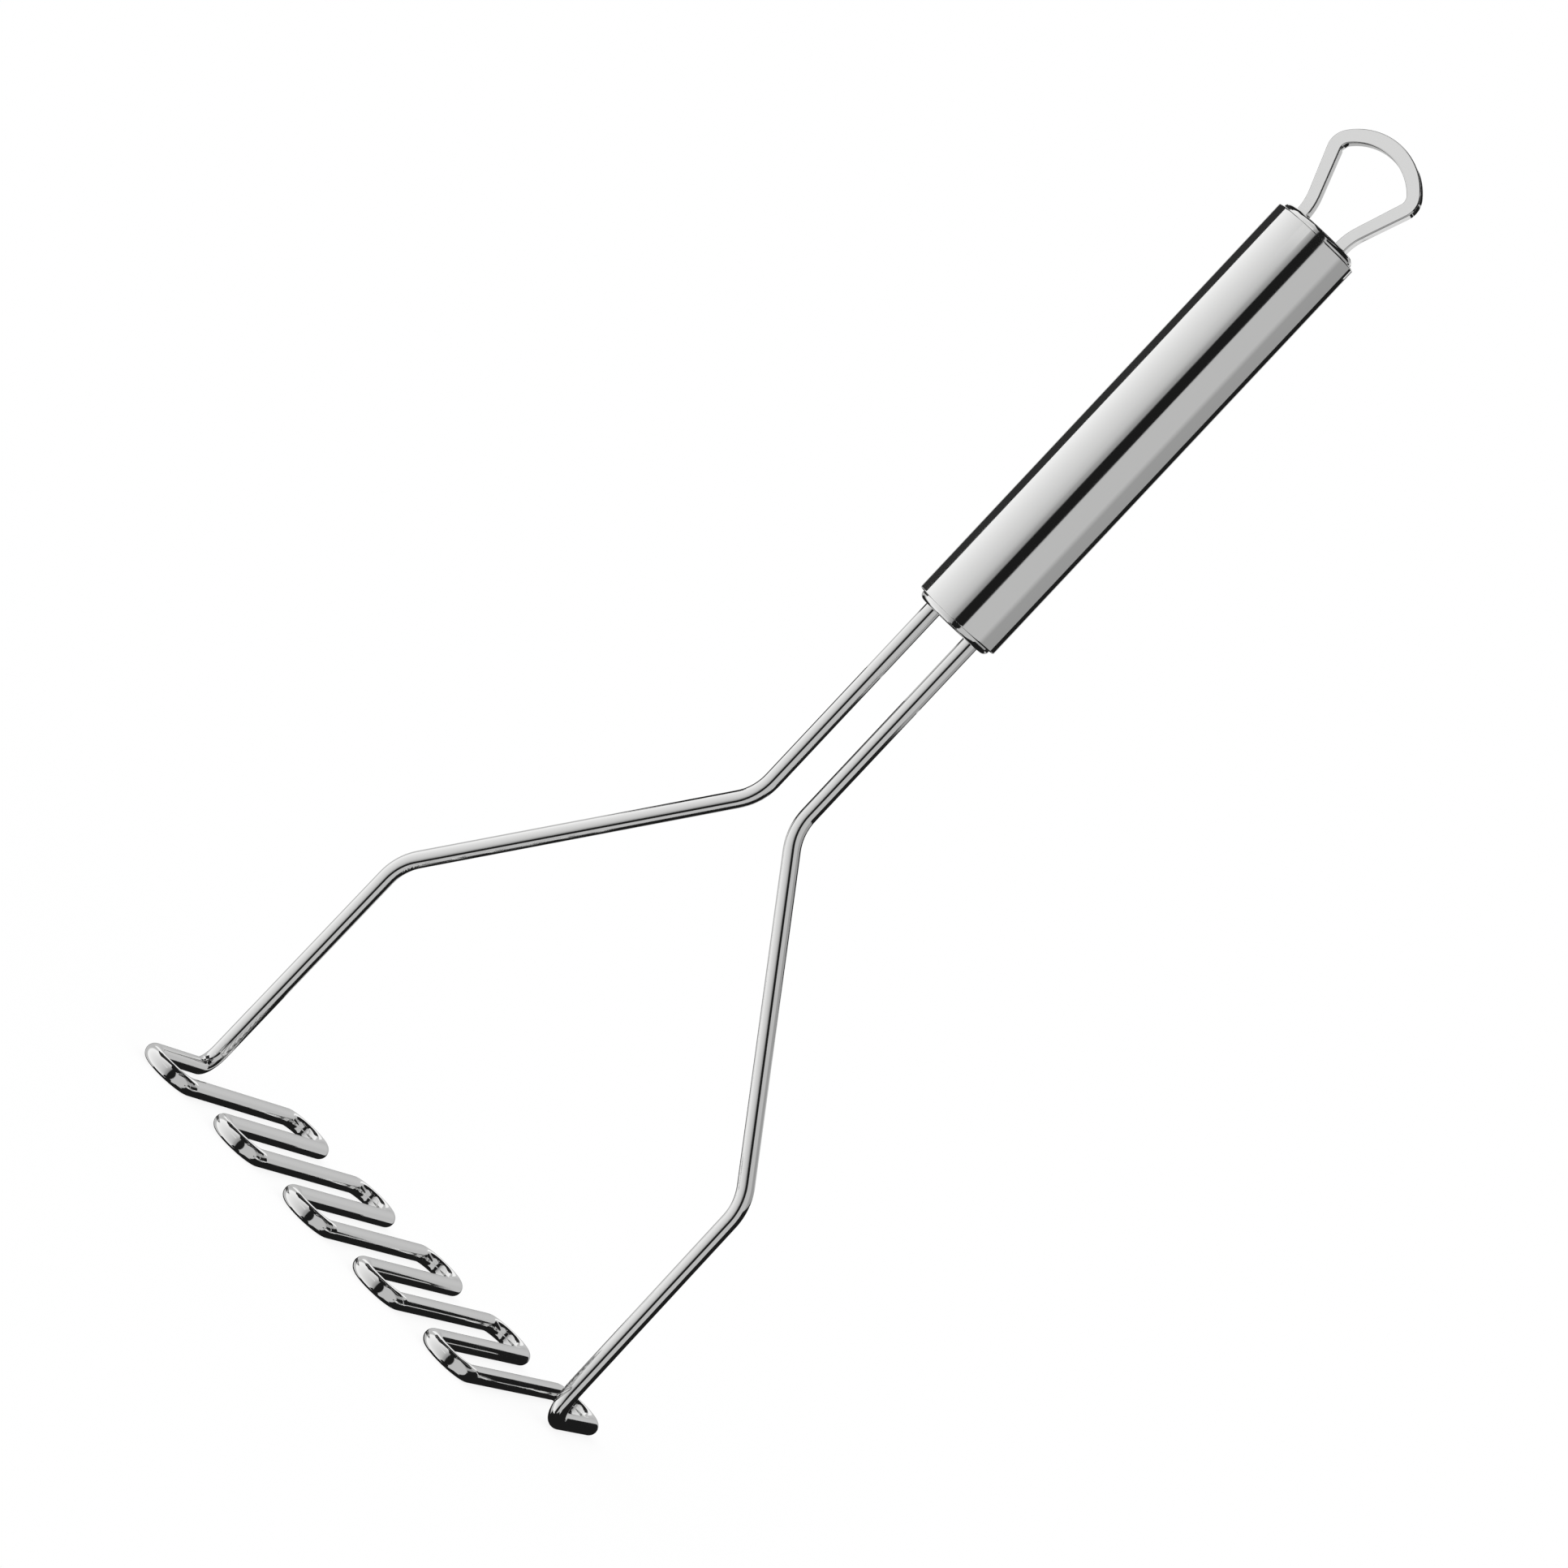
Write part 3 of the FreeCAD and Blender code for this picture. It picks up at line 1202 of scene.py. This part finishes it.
    def card_material(self, card: Card) -> bpy.types.Material:
        """Makes a material that shines from a card's low light at one edge to its high light at the other.

        Args:
            card: The card that it is for.

        Returns:
            The finished material.
        """
        made = self.glow(card.name)
        nodes, links = made.node_tree.nodes, made.node_tree.links
        split = nodes.new("ShaderNodeSeparateXYZ")
        links.new(nodes.new("ShaderNodeTexCoord").outputs["UV"], split.inputs["Vector"])
        fade = nodes.new("ShaderNodeMapRange")
        fade.inputs["To Min"].default_value = card.low_light
        fade.inputs["To Max"].default_value = card.high_light
        links.new(split.outputs["Y"], fade.inputs["Value"])
        links.new(fade.outputs["Result"], nodes["Emission"].inputs["Strength"])
        return made

    def wall_material(self) -> bpy.types.Material:
        """Makes a material that shines by bearing, as the list of tones says.

        Returns:
            The finished material.
        """
        made = self.glow("studio_wall")
        nodes, links = made.node_tree.nodes, made.node_tree.links
        place = nodes.new("ShaderNodeTexCoord").outputs["Object"]
        turned = nodes.new("ShaderNodeVectorRotate")
        turned.rotation_type = "Z_AXIS"
        turned.inputs["Angle"].default_value = math.pi / 2 - self.azimuth
        links.new(place, turned.inputs["Vector"])
        split = nodes.new("ShaderNodeSeparateXYZ")
        links.new(turned.outputs["Vector"], split.inputs["Vector"])
        bearing = nodes.new("ShaderNodeMath")
        bearing.operation = "ARCTAN2"
        links.new(split.outputs["Y"], bearing.inputs[0])
        links.new(split.outputs["X"], bearing.inputs[1])
        spread = nodes.new("ShaderNodeMapRange")
        spread.inputs["From Min"].default_value = -math.pi
        spread.inputs["From Max"].default_value = math.pi
        links.new(bearing.outputs["Value"], spread.inputs["Value"])
        ramp = nodes.new("ShaderNodeValToRGB")
        links.new(spread.outputs["Result"], ramp.inputs["Fac"])
        # A new ramp has a stop at each end, where the first and the last tone lie.
        stops = ramp.color_ramp.elements
        for tone in self.wall_tones[1:-1]:
            stops.new(tone.round_share)
        for stop, tone in zip(stops, self.wall_tones):
            stop.color = (tone.light, tone.light, tone.light, 1)
        links.new(ramp.outputs["Color"], nodes["Emission"].inputs["Color"])
        return made

    def build_wall(self) -> None:
        """Stands the wall round the object, as far below the floor as above it."""
        deselect_everything()
        bpy.ops.mesh.primitive_cylinder_add(
            vertices=self.wall_sides,
            radius=self.wall_radius,
            depth=self.wall_reach * 2,
            end_fill_type="NOTHING",
        )
        wall = bpy.context.object
        wall.name = "studio_wall"
        wall.data.materials.append(self.wall_material())
        self.show_in_reflections_only(wall)

    def build_card(self, card: Card) -> None:
        """Puts one card up, facing the point that it is aimed at.

        Args:
            card: The card.
        """
        deselect_everything()
        lift = math.radians(card.elevation)
        way = self.direction(card.bearing) * math.cos(lift) + UP * math.sin(lift)
        place = way * card.distance + UP * card.aim_height
        turn = (-way).to_track_quat("Z", "Y").to_euler()
        bpy.ops.mesh.primitive_plane_add(size=1, location=place, rotation=turn)
        plate = bpy.context.object
        plate.scale = (card.width, card.tall, 1)
        plate.name = card.name
        plate.data.materials.append(self.card_material(card))
        self.show_in_reflections_only(plate)

    def build_floor(self) -> None:
        """Lays the pale floor."""
        deselect_everything()
        bpy.ops.mesh.primitive_plane_add(size=self.floor_size)
        floor = bpy.context.object
        floor.name = "floor"
        made = bpy.data.materials.new("pale_floor")
        made.use_nodes = True
        shader = made.node_tree.nodes["Principled BSDF"]
        shader.inputs["Base Color"].default_value = self.floor_tint
        shader.inputs["Roughness"].default_value = self.floor_roughness
        shader.inputs["Specular IOR Level"].default_value = self.floor_gloss
        shader.inputs["Emission Color"].default_value = WHITE
        shader.inputs["Emission Strength"].default_value = self.floor_glow
        floor.data.materials.append(made)
        floor.visible_glossy = False

    def build_world(self) -> None:
        """Lights the scene evenly from all round."""
        world = bpy.data.worlds.new("soft_light")
        bpy.context.scene.world = world
        world.use_nodes = True
        background = world.node_tree.nodes["Background"]
        background.inputs["Color"].default_value = WHITE
        background.inputs["Strength"].default_value = self.world_light

    def build_camera(self) -> None:
        """Sets the camera up at the photograph's angle and makes it the scene's own."""
        back = self.direction(0) * math.cos(self.elevation) + UP * math.sin(self.elevation)
        level = Vector((math.cos(self.azimuth), math.sin(self.azimuth), 0))
        upright = back.cross(level)
        cosine, sine = math.cos(self.roll), math.sin(self.roll)
        right = level * cosine - upright * sine
        up = level * sine + upright * cosine
        slide = right * self.slide_right + up * self.slide_up
        place = UP * self.aim_height + back * self.distance + slide
        data = bpy.data.cameras.new("photo_camera")
        data.lens = self.lens
        data.sensor_width = self.sensor
        camera = bpy.data.objects.new("photo_camera", data)
        bpy.context.scene.collection.objects.link(camera)
        turn = Matrix((right, up, back)).transposed().to_4x4()
        camera.matrix_world = Matrix.Translation(place) @ turn
        bpy.context.scene.camera = camera

    def build(self) -> None:
        """Builds the whole studio."""
        self.build_floor()
        self.build_wall()
        for card in self.cards:
            self.build_card(card)
        self.build_world()
        self.build_camera()
        bpy.context.scene.view_settings.view_transform = "Standard"


def main() -> None:
    """Builds the pieces in order, then the studio."""
    logging.basicConfig(level=logging.INFO, format="%(message)s")
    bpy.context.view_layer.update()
    effects = Effects()
    wire = MasherWire()
    loop = HangingLoop()
    wire.dress(effects)
    HandleTube().dress(effects)
    for end in HandleEnd:
        EndCap(end).dress(effects, wire, loop)
    loop.dress(effects)
    WeldBeads().dress(effects)
    Studio().build()
    deselect_everything()


if __name__ == "__main__":
    main()
